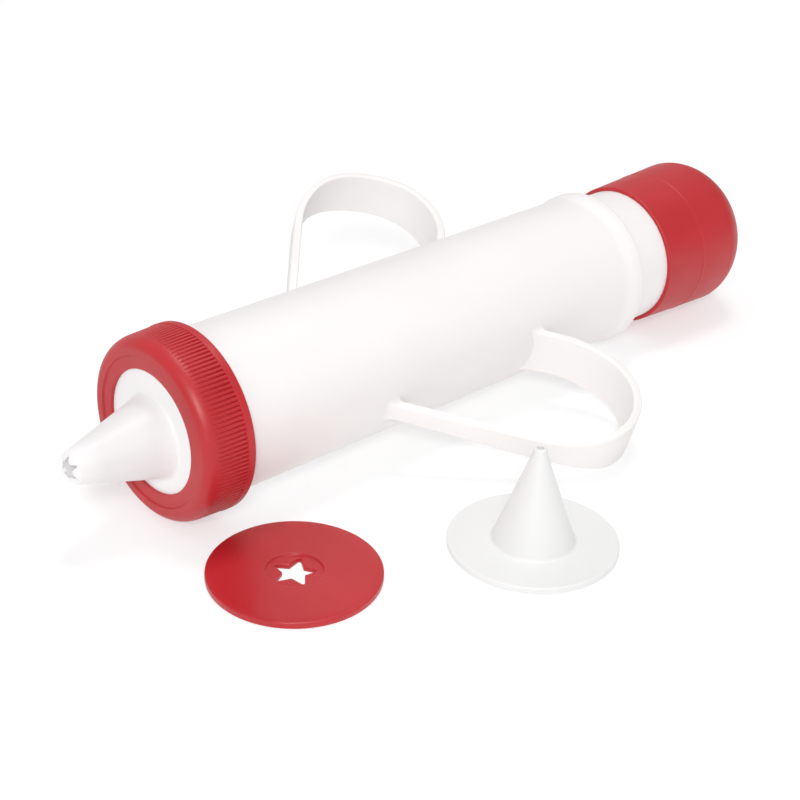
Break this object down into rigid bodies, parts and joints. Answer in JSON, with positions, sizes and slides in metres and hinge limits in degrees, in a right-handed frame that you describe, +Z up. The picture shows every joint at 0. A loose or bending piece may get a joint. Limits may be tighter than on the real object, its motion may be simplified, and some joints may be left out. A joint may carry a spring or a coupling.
{
  "type": "cookie press",
  "caption": "Hand cookie press lying on its side: threaded barrel with finger loops, sliding domed plunger, screw ring with star nozzle, loose star disc and spare nozzle.",
  "frame": {"origin": "middle of the whole set's outline, at table height", "axes": "+X from the nozzle to the knob, nearly along the press; +Z up from the table"},
  "size_m": [0.281, 0.1778, 0.0573],
  "materials": {
    "white_plastic": "satin white moulded polypropylene",
    "red_plastic": "red moulded plastic, soft gloss",
    "seal_rubber": "pale food-grade silicone"
  },
  "bodies": {
    "barrel": {"barrel": "white_plastic", "finger_loop_far": "white_plastic", "finger_loop_near": "white_plastic"},
    "nozzle": {"fitted_nozzle": "white_plastic"},
    "ring": {"screw_ring": "red_plastic"},
    "seal": {"piston_seal": "seal_rubber"},
    "plunger": {"plunger_tube": "white_plastic", "piston_head": "white_plastic", "plunger_knob": "red_plastic"},
    "disc": {"star_disc": "red_plastic"},
    "spare": {"spare_nozzle": "white_plastic"}
  },
  "joints": [
    {"name": "nozzle_advance", "type": "slide", "parent": "barrel", "child": "nozzle", "axis": [-0.9999, 0, 0.0138], "range_m": [0, 0.01]},
    {"name": "ring_turn", "type": "hinge", "parent": "nozzle", "child": "ring", "pos_m": [-0.10706, 0.01751, 0.02879], "axis": [-0.9999, 0, 0.0138], "range_deg": [0, 900]},
    {"name": "plunger_slide", "type": "slide", "parent": "barrel", "child": "seal", "axis": [0.9999, 0, -0.0138], "range_m": [-0.016, 0.15]},
    {"name": "plunger_turn", "type": "hinge", "parent": "seal", "child": "plunger", "pos_m": [-0.09306, 0.01751, 0.0286], "axis": [0.9999, 0, -0.0138], "continuous": true},
    {"name": "disc_lift", "type": "slide", "parent": "barrel", "child": "disc", "axis": [0, -0.7071, 0.7071], "range_m": [0, 0.06]},
    {"name": "spare_lift", "type": "slide", "parent": "barrel", "child": "spare", "axis": [0, 0, 1], "range_m": [0, 0.06]}
  ],
  "couplings": [
    {"joint": "nozzle_advance", "follows": "ring_turn", "m_per_rad": 0.00063662}
  ]
}
